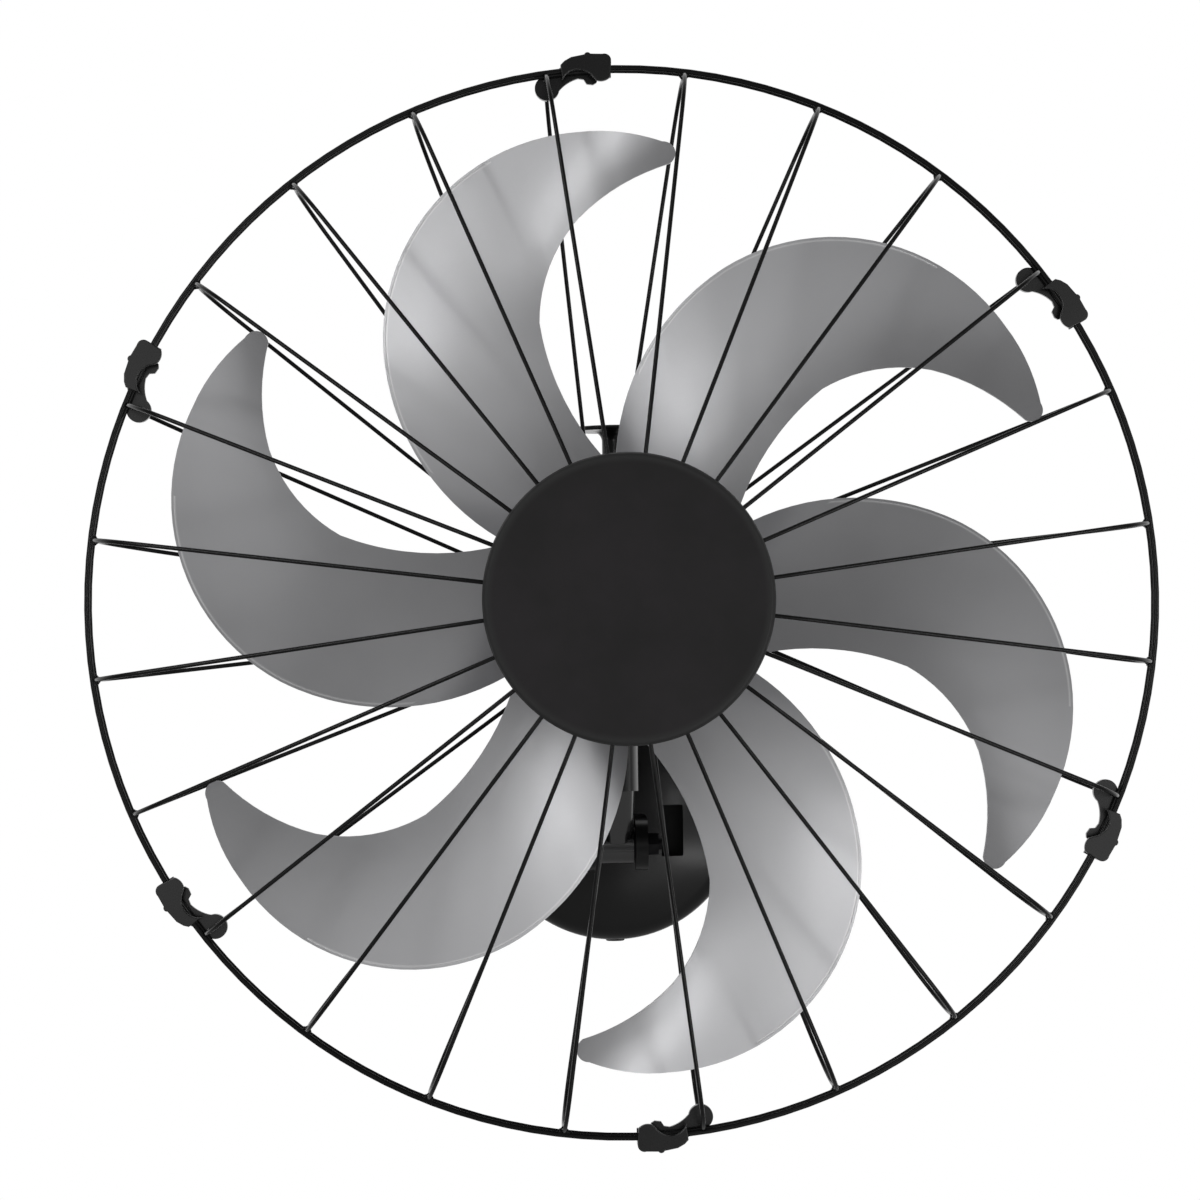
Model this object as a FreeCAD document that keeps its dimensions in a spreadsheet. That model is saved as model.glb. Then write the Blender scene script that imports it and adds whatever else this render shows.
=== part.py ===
import FreeCAD, Part
import math
import os
import Sketcher
from FreeCAD import Vector

# Wall fan. Millimetres. The wall is the XZ plane, Z is up and the fan blows along -Y.
# A "reach" is a distance forward from the wall, so a point at reach q has y = -q.
# Bodies of the fan head have their own origin on the fan axis, at the height axis_height.

doc = FreeCAD.newDocument("wall_fan")
sheet = doc.addObject("Spreadsheet::Sheet", "dims")
nodes = []


class Size:
    # A number together with the expression that the model uses for it.
    def __init__(self, value, text):
        self.value = float(value)
        self.text = text

    def join(self, sign, other, swap=False):
        a, b = self, wrap(other)
        if swap:
            a, b = b, a
        worked = {
            "+": a.value + b.value,
            "-": a.value - b.value,
            "*": a.value * b.value,
            "/": a.value / b.value if b.value else 0.0,
        }[sign]
        return Size(worked, f"({a.text} {sign} {b.text})")

    def __add__(self, other):
        return self.join("+", other)

    def __radd__(self, other):
        return self.join("+", other, True)

    def __sub__(self, other):
        return self.join("-", other)

    def __rsub__(self, other):
        return self.join("-", other, True)

    def __mul__(self, other):
        return self.join("*", other)

    def __rmul__(self, other):
        return self.join("*", other, True)

    def __truediv__(self, other):
        return self.join("/", other)

    def __rtruediv__(self, other):
        return self.join("/", other, True)

    def __neg__(self):
        return self.join("*", -1)


def wrap(number):
    return number if isinstance(number, Size) else Size(number, f"({float(number):.6f})")


def sin(angle):
    return Size(math.sin(math.radians(angle.value)), f"sin({angle.text} * 1 deg)")


def cos(angle):
    return Size(math.cos(math.radians(angle.value)), f"cos({angle.text} * 1 deg)")


def size(name, value):
    row = len(sheet.getUsedCells()) // 2 + 1
    sheet.set(f"A{row}", name)
    sheet.set(f"B{row}", str(value))
    sheet.setAlias(f"B{row}", name)
    return Size(value, f"dims.{name}")


# Driving dimensions
axis_height = size("axis_height", 127)
guard_radius = size("guard_radius", 300)
ring_wire = size("ring_wire", 3)
spoke_wire = size("spoke_wire", 2.4)
spoke_count = size("spoke_count", 24)
rear_ring_step = size("rear_ring_step", 1)
bend_radius = size("bend_radius", 34)
front_turn = size("front_turn", 78)
rear_turn = size("rear_turn", 84)
front_stub = size("front_stub", 3)
rear_stub = size("rear_stub", 10)
rear_lean = size("rear_lean", 1.9)
hub_bend_radius = size("hub_bend_radius", 40)
flat_radius = size("flat_radius", 88)
badge_radius = size("badge_radius", 78.5)
badge_depth = size("badge_depth", 6)
clip_first_angle = size("clip_first_angle", -7.5)
clip_depth = size("clip_depth", 2.6)
clip_head_radius = size("clip_head_radius", 6.9)
motor_front = size("motor_front", 197.3)
motor_radius = size("motor_radius", 50)
cover_radius = size("cover_radius", 62)
cover_wall = size("cover_wall", 2.5)
cover_back = size("cover_back", 68)
stator_radius = size("stator_radius", 46)
stator_length = size("stator_length", 40)
rotor_radius = size("rotor_radius", 26.6)
air_gap = size("air_gap", 0.4)
shaft_radius = size("shaft_radius", 5)
plate_sheet = size("plate_sheet", 1.5)
plate_radius = size("plate_radius", 76)
hub_radius = size("hub_radius", 70)
hub_back = size("hub_back", 220)
hub_front = size("hub_front", 296)
blade_centre = size("blade_centre", 254)
blade_thickness = size("blade_thickness", 2.2)
blade_count = size("blade_count", 6)
impeller_radius = size("impeller_radius", 265)
blade_angle = size("blade_angle", -23.8)
pivot_reach = size("pivot_reach", 122)
pivot_radius = size("pivot_radius", 6)
neck_top = size("neck_top", 50)
neck_width = size("neck_width", 19.5)
socket_radius = size("socket_radius", 12)
hinge_reach = size("hinge_reach", 80)
hinge_drop = size("hinge_drop", 18.3)
knuckle_radius = size("knuckle_radius", 11.8)
ear_radius = size("ear_radius", 15.8)
ear_thickness = size("ear_thickness", 7.5)
arm_height = size("arm_height", 18.4)
bolt_radius = size("bolt_radius", 4)
canopy_radius = size("canopy_radius", 81.5)
canopy_depth = size("canopy_depth", 48)
canopy_wall = size("canopy_wall", 2.6)
window_start = size("window_start", 28.8)
window_width = size("window_width", 13.7)
window_height = size("window_height", 32)
window_drop = size("window_drop", 12.4)
opening_width = size("opening_width", 40)
opening_height = size("opening_height", 26.8)
plate_hole_spacing = size("plate_hole_spacing", 80)
plate_hole_radius = size("plate_hole_radius", 3)
knob_reach = size("knob_reach", 92)
knob_top = size("knob_top", 110)
knob_radius = size("knob_radius", 23)
knob_stem_radius = size("knob_stem_radius", 5.5)
running_gap = size("running_gap", 0.08)
lap_gap = size("lap_gap", 0.02)
doc.recompute()

# Sizes worked out from the driving ones
hinge_z = -hinge_drop
front_ring_radius = guard_radius - ring_wire / 2
rear_ring_radius = front_ring_radius - rear_ring_step
front_stub_radius = front_ring_radius - ring_wire / 2 - spoke_wire / 2 - lap_gap
rear_stub_radius = rear_ring_radius - ring_wire / 2 - spoke_wire / 2 - lap_gap


def guard_depth(stub, turn, stub_radius):
    # Depth from the ring plane to the flat inner run of a spoke.
    bend_end = stub_radius - bend_radius * (1 - cos(turn))
    flat_start = flat_radius + hub_bend_radius * cos(turn)
    slope = (bend_end - flat_start) * cos(turn) / sin(turn)
    return stub + bend_radius * sin(turn) + slope + hub_bend_radius * (1 - sin(turn))


plate_back = motor_front + 0.1
plate_front = plate_back + plate_sheet
rear_flat = plate_front + lap_gap + spoke_wire / 2
ring_reach = rear_flat + guard_depth(rear_stub, rear_turn, rear_stub_radius) + 0.15
front_flat = ring_reach + guard_depth(front_stub, front_turn, front_stub_radius) + 0.15
badge_back = front_flat + spoke_wire / 2 + 0.05
stator_front = motor_front - 21.3
stator_back = stator_front - stator_length
bell_back = stator_back - 26
ear_inside = neck_width / 2 + 1.2


# Sketch and feature helpers
def body(label, height=None, turn=None):
    made = doc.addObject("PartDesign::Body", label)
    made.Label = label
    made.AllowCompound = True
    up = wrap(height if height is not None else 0).text
    angle = wrap(turn if turn is not None else 0).text
    base = f"create(<<vector>>; 0; 0; {up})"
    spin = f"create(<<rotation>>; create(<<vector>>; 0; 1; 0); {angle})"
    made.setExpression("Placement", f"create(<<placement>>; {base}; {spin})")
    nodes.append(made)
    return made


def origin_part(owner, role):
    return [f for f in owner.Origin.OriginFeatures if f.Role == role][0]


def sketch(owner, role, offset=0):
    made = owner.newObject("Sketcher::SketchObject", "profile")
    made.AttachmentSupport = [(origin_part(owner, role), "")]
    made.MapMode = "FlatFace"
    made.setExpression("AttachmentOffset.Base.z", wrap(offset).text)
    return made


def vector(spot):
    return Vector(spot[0].value, spot[1].value, 0)


def pin(drawing, geo, end, spot):
    # Hold one point of a sketch at its two coordinates.
    for kind, axis, number in (("DistanceX", -2, spot[0]), ("DistanceY", -1, spot[1])):
        if number.text == wrap(0).text:
            drawing.addConstraint(Sketcher.Constraint("PointOnObject", geo, end, axis))
            continue
        rule = Sketcher.Constraint(kind, -1, 1, geo, end, number.value)
        drawing.setExpression(f"Constraints[{drawing.addConstraint(rule)}]", number.text)


def outline(drawing, path, closed=True):
    # Lines and arcs through the corners. A third entry marks a point that an arc passes through.
    spots = [(wrap(p[0]), wrap(p[1])) for p in path]
    corners = [i for i, p in enumerate(path) if len(p) == 2]
    pairs = list(zip(corners, corners[1:] + corners[:1]))
    if not closed:
        pairs.pop()
    edges = []
    for first, last in pairs:
        a, b = vector(spots[first]), vector(spots[last])
        if len(path[(first + 1) % len(path)]) == 3:
            through = spots[first + 1]
            geo = drawing.addGeometry(Part.Arc(a, vector(through), b))
            dot = drawing.addGeometry(Part.Point(vector(through)), True)
            pin(drawing, dot, 1, through)
            drawing.addConstraint(Sketcher.Constraint("PointOnObject", dot, 1, geo))
            start = 1 if drawing.getPoint(geo, 1).isEqual(a, 1e-6) else 2
        else:
            geo = drawing.addGeometry(Part.LineSegment(a, b))
            start = 1
        pin(drawing, geo, start, spots[first])
        edges.append((geo, start, 3 - start))
    for near, far in zip(edges, edges[1:] + (edges[:1] if closed else [])):
        drawing.addConstraint(Sketcher.Constraint("Coincident", near[0], near[2], far[0], far[1]))
    if not closed:
        pin(drawing, edges[-1][0], edges[-1][2], spots[corners[-1]])
    return drawing


def box(drawing, x1, z1, x2, z2):
    return outline(drawing, [(x1, z1), (x2, z1), (x2, z2), (x1, z2)])


def round_box(drawing, x1, z1, x2, z2, radius):
    near = radius * (1 - math.sqrt(0.5))
    return outline(drawing, [
        (x1 + radius, z1),
        (x2 - radius, z1),
        (x2 - near, z1 + near, "arc"),
        (x2, z1 + radius),
        (x2, z2 - radius),
        (x2 - near, z2 - near, "arc"),
        (x2 - radius, z2),
        (x1 + radius, z2),
        (x1 + near, z2 - near, "arc"),
        (x1, z2 - radius),
        (x1, z1 + radius),
        (x1 + near, z1 + near, "arc"),
    ])


def circle(drawing, x, z, radius):
    spot = (wrap(x), wrap(z))
    radius = wrap(radius)
    geo = drawing.addGeometry(Part.Circle(vector(spot), Vector(0, 0, 1), radius.value))
    pin(drawing, geo, 3, spot)
    index = drawing.addConstraint(Sketcher.Constraint("Radius", geo, radius.value))
    drawing.setExpression(f"Constraints[{index}]", radius.text)
    return drawing


def centre_line(drawing, start, end):
    spots = [(wrap(p[0]), wrap(p[1])) for p in (start, end)]
    geo = drawing.addGeometry(Part.LineSegment(vector(spots[0]), vector(spots[1])), True)
    pin(drawing, geo, 1, spots[0])
    pin(drawing, geo, 2, spots[1])
    return drawing


def feature(owner, kind, profile=None):
    before = owner.Shape.Volume if owner.Tip else 0
    made = owner.newObject("PartDesign::" + kind, kind.lower())
    if profile:
        made.Profile = profile
    owner.Tip = made
    return made, before


def settle(owner, made, before, cuts=False):
    # Recompute and make sure that the feature changed the body the right way.
    doc.recompute()
    after = owner.Shape.Volume
    if "Invalid" in made.State or after <= 0 or (after >= before if cuts else after <= before):
        raise RuntimeError(f"{owner.Label}: {made.Name} went from {before:.1f} to {after:.1f}")
    return made


def pad(owner, profile, length, both=False):
    made, before = feature(owner, "Pad", profile)
    made.SideType = "Symmetric" if both else "One side"
    made.setExpression("Length", wrap(length).text)
    return settle(owner, made, before)


def pocket(owner, profile, length=None, both=False, ahead=False):
    made, before = feature(owner, "Pocket", profile)
    made.SideType = "Symmetric" if both else "One side"
    made.Reversed = ahead
    if length is None:
        made.Type = "ThroughAll"
    else:
        made.setExpression("Length", wrap(length).text)
    return settle(owner, made, before, True)


def revolve(owner, profile, axis="H_Axis"):
    made, before = feature(owner, "Revolution", profile)
    made.ReferenceAxis = (profile, [axis])
    return settle(owner, made, before)


def groove(owner, profile, axis="H_Axis"):
    made, before = feature(owner, "Groove", profile)
    made.ReferenceAxis = (profile, [axis])
    return settle(owner, made, before, True)


def polar(owner, features, count, axis="Y_Axis", cuts=False):
    made, before = feature(owner, "PolarPattern")
    made.Originals = features
    made.Axis = (origin_part(owner, axis), [""])
    made.Angle = 360
    made.setExpression("Occurrences", wrap(count).text)
    return settle(owner, made, before, cuts)


def mirror(owner, features, plane="YZ_Plane", cuts=False):
    made, before = feature(owner, "Mirrored")
    made.Originals = features
    made.MirrorPlane = (origin_part(owner, plane), [""])
    return settle(owner, made, before, cuts)


def fillet(owner, radius, chosen):
    # Round the edges that the test picks.
    tip = owner.Tip
    names = [f"Edge{i + 1}" for i, e in enumerate(tip.Shape.Edges) if chosen(e)]
    if not names:
        raise RuntimeError(f"{owner.Label}: no edge to round")
    made = owner.newObject("PartDesign::Fillet", "fillet")
    made.Base = (tip, names)
    made.setExpression("Radius", wrap(radius).text)
    owner.Tip = made
    doc.recompute()
    if "Invalid" in made.State:
        raise RuntimeError(f"{owner.Label}: fillet failed")
    return made


def turned(label, path, height=None, turn=None):
    # A solid of revolution about the fan axis, from corners given as reach and radius.
    made = body(label, axis_height if height is None else height, turn)
    drawing = sketch(made, "YZ_Plane")
    revolve(made, outline(drawing, [(-wrap(p[0]),) + tuple(p[1:]) for p in path]))
    return made



# Wall base
def wall_bracket():
    made = body("wall_bracket")
    drawing = circle(sketch(made, "XZ_Plane"), 0, 0, canopy_radius - canopy_wall - 1.2)
    half = plate_hole_spacing / 2
    for x in (-half, half):
        for z in (-half, half):
            circle(drawing, x, z, plate_hole_radius)
    pad(made, drawing, 3)
    arm = sketch(made, "YZ_Plane", ear_inside)
    bend = -(hinge_reach - ear_radius)
    outline(arm, [
        (-1, hinge_z - arm_height / 2),
        (bend, hinge_z - arm_height / 2),
        (-hinge_reach, hinge_z - ear_radius),
        (-hinge_reach - ear_radius, hinge_z, "arc"),
        (-hinge_reach, hinge_z + ear_radius),
        (bend, hinge_z + arm_height / 2),
        (-1, hinge_z + arm_height / 2),
    ])
    circle(arm, -hinge_reach, hinge_z, bolt_radius + 0.05)
    arm_pad = pad(made, arm, ear_thickness)
    tab = box(sketch(made, "YZ_Plane", canopy_radius - canopy_wall - 4.4), -1, -8, -16, 8)
    circle(tab, -9, 0, 1.7)
    tab_pad = pad(made, tab, 3)
    mirror(made, [arm_pad, tab_pad])


def dome(radius, depth, corner):
    # Half of a dome: straight rim, rounded shoulder and a flatter crown that ends on the axis.
    turn = wrap(65)
    mid = wrap(32.5)
    rim = 16
    edge = (rim + corner * sin(turn), radius - corner * (1 - cos(turn)))
    rise = depth - edge[0]
    return [
        (0.5, radius),
        (rim, radius),
        (rim + corner * sin(mid), radius - corner * (1 - cos(mid)), "arc"),
        edge,
        (edge[0] + rise / 2 + edge[1] * 0.0494, edge[1] / 2 + rise * 0.0494, "arc"),
        (depth, 0),
    ]


def canopy():
    skin = dome(canopy_radius, canopy_depth, 16)
    inside = dome(canopy_radius - canopy_wall, canopy_depth - canopy_wall, 13.4)
    shell = turned("canopy", skin + inside[::-1], 0)
    low = -window_drop - window_height / 2
    half = opening_width / 2
    opening = round_box(sketch(shell, "XZ_Plane", 20), -half, low, half, low + opening_height, 3)
    pocket(shell, opening, ahead=True)
    for side in (1, -1):
        near = window_start * side
        far = (window_start + window_width) * side
        left, right = (near, far) if side > 0 else (far, near)
        window = round_box(sketch(shell, "XZ_Plane", 20), left, low, right, low + window_height, 1)
        pocket(shell, window, ahead=True)
    pocket(shell, circle(sketch(shell, "YZ_Plane"), -9, 0, 2.1), both=True)
    pocket(shell, circle(sketch(shell, "XY_Plane"), 0, -10, 4))


def canopy_screws():
    made = body("canopy_screws")
    drawing = sketch(made, "XY_Plane")
    seat = canopy_radius + 0.15
    centre_line(drawing, (seat - 20, -9), (seat + 10, -9))
    outline(drawing, [
        (seat - 9, -9),
        (seat - 9, -7.35),
        (seat, -7.35),
        (seat, -5.5),
        (seat + 1.2, -5.5),
        (seat + 2, -6.1, "arc"),
        (seat + 2.4, -7),
        (seat + 2.4, -9),
    ])
    mirror(made, [revolve(made, drawing, "Axis0")])


def cable_grommet():
    made = body("cable_grommet")
    drawing = sketch(made, "YZ_Plane")
    low = -canopy_radius
    centre_line(drawing, (-10, low - 10), (-10, low + 20))
    outline(drawing, [
        (-12.5, low - 1.1),
        (-12.5, low + 5.4),
        (-16, low + 5.4),
        (-16, low + canopy_wall + 0.55),
        (-13.9, low + canopy_wall + 0.55),
        (-13.9, low - 0.15),
        (-16, low - 0.15),
        (-16, low - 0.5),
        (-15.4, low - 1.1),
    ])
    revolve(made, drawing, "Axis0")


def hexagon(drawing, y, z, flats):
    reach = flats / math.sqrt(3)
    corners = []
    for k in range(6):
        a = math.radians(60 * k)
        corners.append((y + reach * math.cos(a), z + reach * math.sin(a)))
    return outline(drawing, corners)


def tilt_hinge():
    outside = ear_inside + ear_thickness
    bolt = body("tilt_bolt")
    shank = circle(sketch(bolt, "YZ_Plane", -outside - 0.15), -hinge_reach, hinge_z, bolt_radius)
    pad(bolt, shank, outside * 2 + 9)
    head = hexagon(sketch(bolt, "YZ_Plane", -outside - 5.45), -hinge_reach, hinge_z, bolt_radius * 3.25)
    pad(bolt, head, 5.3)
    nut = body("tilt_nut")
    flats = hexagon(sketch(nut, "YZ_Plane", outside + 0.15), -hinge_reach, hinge_z, bolt_radius * 3.25)
    circle(flats, -hinge_reach, hinge_z, bolt_radius + 0.1)
    pad(nut, flats, 6.5)
    washers = body("tilt_washers")
    ring = sketch(washers, "YZ_Plane", neck_width / 2 + 0.15)
    circle(ring, -hinge_reach, hinge_z, knuckle_radius - 1)
    circle(ring, -hinge_reach, hinge_z, bolt_radius + 0.15)
    mirror(washers, [pad(washers, ring, 0.9)])


# Neck
def neck_arm():
    made = body("neck_arm")
    lean = sketch(made, "YZ_Plane")
    back = -pivot_reach + socket_radius - 1
    outline(lean, [
        (-hinge_reach - knuckle_radius + 0.5, hinge_z),
        (-pivot_reach - socket_radius + 3, neck_top - 30),
        (-pivot_reach - socket_radius + 3, neck_top - 5),
        (back, neck_top - 5),
        (back, neck_top - 16),
        (-hinge_reach - 4, hinge_z + 30, "arc"),
        (-hinge_reach + knuckle_radius - 1, hinge_z),
    ])
    pad(made, lean, neck_width, both=True)
    fillet(made, 8, lambda e: long_side(e, neck_width.value / 2))
    knuckle = circle(sketch(made, "YZ_Plane"), -hinge_reach, hinge_z, knuckle_radius)
    pad(made, knuckle, neck_width, both=True)
    socket = circle(sketch(made, "XY_Plane", neck_top - 34), 0, -pivot_reach, socket_radius)
    pad(made, socket, 34)
    bore = circle(sketch(made, "XY_Plane", neck_top), 0, -pivot_reach, pivot_radius + running_gap)
    pocket(made, bore, 31)
    eye = circle(sketch(made, "YZ_Plane"), -hinge_reach, hinge_z, bolt_radius + running_gap)
    pocket(made, eye, both=True)
    thread = circle(sketch(made, "XZ_Plane", pivot_reach), 0, neck_top - 9, 2.5)
    pocket(made, thread, 30)


def long_side(edge, half):
    first, last = edge.Vertexes[0].Point, edge.Vertexes[-1].Point
    flat = abs(abs(first.x) - half) < 0.01 and abs(first.x - last.x) < 0.01
    return flat and edge.Length > 20


def pivot_parts():
    washer = body("pivot_washer")
    ring = circle(sketch(washer, "XY_Plane", neck_top + 0.1), 0, -pivot_reach, socket_radius - 0.5)
    circle(ring, 0, -pivot_reach, pivot_radius + 0.2)
    pad(washer, ring, 1.6)
    grub = body("pivot_set_screw")
    z = neck_top - 9
    tip = -pivot_reach + pivot_radius - 0.7
    drawing = sketch(grub, "YZ_Plane")
    centre_line(drawing, (tip - 5, z), (tip + 20, z))
    outline(drawing, [
        (tip, z),
        (tip, z + 1.4),
        (tip + 1, z + 2.4),
        (tip + 8, z + 2.4),
        (tip + 8, z + 1.25),
        (tip + 5.5, z + 1.25),
        (tip + 5.5, z),
    ])
    revolve(grub, drawing, "Axis0")
    post = body("pivot_post")
    drawing = sketch(post, "YZ_Plane")
    centre_line(drawing, (-pivot_reach, neck_top - 60), (-pivot_reach, neck_top + 60))
    out = -pivot_reach + pivot_radius
    outline(drawing, [
        (-pivot_reach, neck_top - 29),
        (out - 1, neck_top - 29),
        (out, neck_top - 28),
        (out, neck_top - 11.2),
        (out - 1.2, neck_top - 11.2),
        (out - 1.2, neck_top - 6.8),
        (out, neck_top - 6.8),
        (out, neck_top + 24),
        (-pivot_reach, neck_top + 24),
    ])
    revolve(post, drawing, "Axis0")


# Motor
def motor_bells():
    ear_ring = motor_radius + 3
    rear = turned("motor_rear_bell", [
        (bell_back - 6, shaft_radius + 3),
        (bell_back - 6, shaft_radius + 8),
        (bell_back, shaft_radius + 8),
        (bell_back, motor_radius),
        (stator_back + 6, motor_radius),
        (stator_back + 6, stator_radius + 0.05),
        (stator_back - 0.05, stator_radius + 0.05),
        (stator_back - 0.05, stator_radius - 2.5),
        (bell_back + 5, stator_radius - 2.5),
        (bell_back + 5, shaft_radius + 8),
        (bell_back + 11, shaft_radius + 8),
        (bell_back + 11, shaft_radius + 3),
    ])
    lug_low = neck_top + 1.8 - axis_height
    lug = circle(sketch(rear, "XY_Plane", lug_low), 0, -pivot_reach, socket_radius + 1)
    pad(rear, lug, -(motor_radius - 4) - lug_low)
    hole = circle(sketch(rear, "XY_Plane", lug_low), 0, -pivot_reach, pivot_radius + 0.02)
    pocket(rear, hole, 23, ahead=True)
    bell_ears(rear, bell_back, ear_ring)
    front = turned("motor_front_bell", [
        (motor_front + 6, shaft_radius + 3),
        (motor_front + 6, shaft_radius + 8.5),
        (motor_front, shaft_radius + 8.5),
        (motor_front, motor_radius),
        (stator_front - 6, motor_radius),
        (stator_front - 6, stator_radius + 0.05),
        (stator_front + 0.05, stator_radius + 0.05),
        (stator_front + 0.05, stator_radius - 2.5),
        (motor_front - 5, stator_radius - 2.5),
        (motor_front - 5, shaft_radius + 8.5),
        (motor_front - 10, shaft_radius + 8.5),
        (motor_front - 10, shaft_radius + 3),
    ])
    bell_ears(front, motor_front - 10, ear_ring)
    hole = pocket(front, circle(sketch(front, "XZ_Plane", motor_front), 0, 30, 2.05), 5.5)
    polar(front, [hole], 4, cuts=True)


def bell_ears(owner, start, ear_ring):
    # Four screw ears on the diagonals.
    step = ear_ring * math.sqrt(0.5)
    spots = [(x, z) for x in (-step, step) for z in (-step, step)]
    lugs = sketch(owner, "XZ_Plane", start)
    for x, z in spots:
        circle(lugs, x, z, 5)
    pad(owner, lugs, 10)
    holes = sketch(owner, "XZ_Plane", start + 10.5)
    for x, z in spots:
        circle(holes, x, z, 2.05)
    pocket(owner, holes, 11)


def stator():
    core = body("stator_core", axis_height)
    drawing = circle(sketch(core, "XZ_Plane", stator_back), 0, 0, stator_radius)
    circle(drawing, 0, 0, rotor_radius + air_gap)
    pad(core, drawing, stator_length)
    inner = rotor_radius + air_gap - 1
    slot = outline(sketch(core, "XZ_Plane", stator_front + 1), [
        (-1, inner),
        (-1, inner + 2.5),
        (-2.3, inner + 4),
        (-3.2, inner + 13),
        (3.2, inner + 13),
        (2.3, inner + 4),
        (1, inner + 2.5),
        (1, inner),
    ])
    polar(core, [pocket(core, slot, stator_length + 2)], 16, cuts=True)
    coil = body("stator_windings", axis_height)
    low, high = rotor_radius + 3.6, stator_radius - 5
    for start, end in ((stator_back - 11, stator_back - 0.3), (stator_front + 0.3, stator_front + 11)):
        ring = outline(sketch(coil, "YZ_Plane"), [
            (-start, low),
            (-start, high - 3),
            (-start - 0.9, high - 0.9, "arc"),
            (-start - 3, high),
            (-end + 3, high),
            (-end + 0.9, high - 0.9, "arc"),
            (-end, high - 3),
            (-end, low),
        ])
        revolve(coil, ring)
    bar = box(sketch(coil, "XZ_Plane", stator_back - 2), -1.9, low + 1.2, 1.9, inner + 12.6)
    polar(coil, [pad(coil, bar, stator_length + 4)], 16)


def rotor():
    turned("rotor_core", [
        (stator_back - 5, shaft_radius + 0.02),
        (stator_back - 5, rotor_radius - 8),
        (stator_back - 4, rotor_radius - 2),
        (stator_back, rotor_radius - 2),
        (stator_back, rotor_radius),
        (stator_front, rotor_radius),
        (stator_front, rotor_radius - 2),
        (stator_front + 4, rotor_radius - 2),
        (stator_front + 5, rotor_radius - 8),
        (stator_front + 5, shaft_radius + 0.02),
    ])
    shaft = turned("motor_shaft", [
        (bell_back - 28, 0),
        (bell_back - 28, shaft_radius - 1),
        (bell_back - 27, shaft_radius),
        (hub_front + 0.2, shaft_radius),
        (hub_front + 0.2, shaft_radius - 1),
        (hub_front + 11, shaft_radius - 1),
        (hub_front + 12, shaft_radius - 2),
        (hub_front + 12, 0),
    ], turn=blade_angle)
    cross = circle(sketch(shaft, "YZ_Plane"), -hub_back - 29, 0, 1.5)
    pocket(shaft, cross, both=True)
    pin_body = body("drive_pin", axis_height, blade_angle)
    pad(pin_body, circle(sketch(pin_body, "YZ_Plane"), -hub_back - 29, 0, 1.48), 21, both=True)


def bearings():
    for label, start in (("rear_bearing", bell_back - 5), ("front_bearing", motor_front - 9)):
        turned(label, [
            (start, shaft_radius + 0.05),
            (start, shaft_radius + 2.97),
            (start + 14, shaft_radius + 2.97),
            (start + 14, shaft_radius + 0.05),
        ])


def tie_screws():
    made = body("tie_screws", axis_height)
    step = (motor_radius + 3) * math.sqrt(0.5)
    long = motor_front - bell_back - 1
    for x in (-step, step):
        for z in (-step, step):
            back_screw(made, bell_back - 0.1, x, z, 3.6, 2.4, 2, long)


def back_screw(owner, reach, x, z, head_radius, head_height, shank_radius, length):
    # A pan head screw put in from behind: the shank runs away from the wall.
    drawing = sketch(owner, "YZ_Plane", x)
    centre_line(drawing, (-reach + 20, z), (-reach - 20, z))
    edge = z + head_radius
    outline(drawing, [
        (-reach + head_height, z),
        (-reach + head_height, edge - 1.6),
        (-reach + head_height * 0.75, edge - 0.4, "arc"),
        (-reach + head_height * 0.3, edge),
        (-reach, edge),
        (-reach, z + shank_radius),
        (-reach - length, z + shank_radius),
        (-reach - length, z),
    ])
    return revolve(owner, drawing, "Axis0")


def front_screw(owner, reach, x, z, head_radius, head_height, shank_radius, length):
    # A pan head screw put in from the front: the shank runs towards the wall.
    drawing = sketch(owner, "YZ_Plane", x)
    centre_line(drawing, (-reach + 20, z), (-reach - 20, z))
    edge = z + head_radius
    outline(drawing, [
        (-reach - head_height, z),
        (-reach - head_height, edge - 1.6),
        (-reach - head_height * 0.75, edge - 0.4, "arc"),
        (-reach - head_height * 0.3, edge),
        (-reach, edge),
        (-reach, z + shank_radius),
        (-reach + length, z + shank_radius),
        (-reach + length, z),
    ])
    return revolve(owner, drawing, "Axis0")


def gearbox():
    front = bell_back - 6.1
    back = cover_back + 8
    top = 34
    case = body("gearbox_case", axis_height)
    pad(case, box(sketch(case, "XZ_Plane", back), -22, -30, 22, top), front - back)
    fillet(case, 4, lambda e: along_y(e) and e.Vertexes[0].Point.z < 0)
    feet = sketch(case, "XZ_Plane", front - 2)
    for x in (-17, 17):
        for z in (-24, 26):
            circle(feet, x, z, 4.5)
    pad(case, feet, bell_back - 0.1 - front + 2)
    pocket(case, circle(sketch(case, "XZ_Plane", front), 0, 0, shaft_radius + 0.6), 24)
    screw_holes = sketch(case, "XZ_Plane", back)
    for x in (-17, 17):
        circle(screw_holes, x, 14, 2.05)
    pocket(case, screw_holes, 16, ahead=True)
    lid_holes = sketch(case, "XY_Plane", top)
    for x, y in lid_spots(front, back):
        circle(lid_holes, x, y, 1.55)
    pocket(case, lid_holes, 9)
    lid = body("gearbox_lid", axis_height)
    plate = box(sketch(lid, "XY_Plane", top + 0.1), -22, -front, 22, -back)
    for x, y in lid_spots(front, back):
        circle(plate, x, y, 1.7)
    pad(lid, plate, 4)
    boss = circle(sketch(lid, "XY_Plane", top + 2), 0, -knob_reach, knob_stem_radius + 3.5)
    pad(lid, boss, 22)
    bore = circle(sketch(lid, "XY_Plane", top + 24), 0, -knob_reach, knob_stem_radius + running_gap)
    pocket(lid, bore, 24.5)
    screws = body("gearbox_screws", axis_height)
    for x, y in lid_spots(front, back):
        lid_screw(screws, x, y, top + 4.2)


def lid_spots(front, back):
    return [(x, y) for x in (-18, 18) for y in (-front + 4, -back - 4)]


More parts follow.
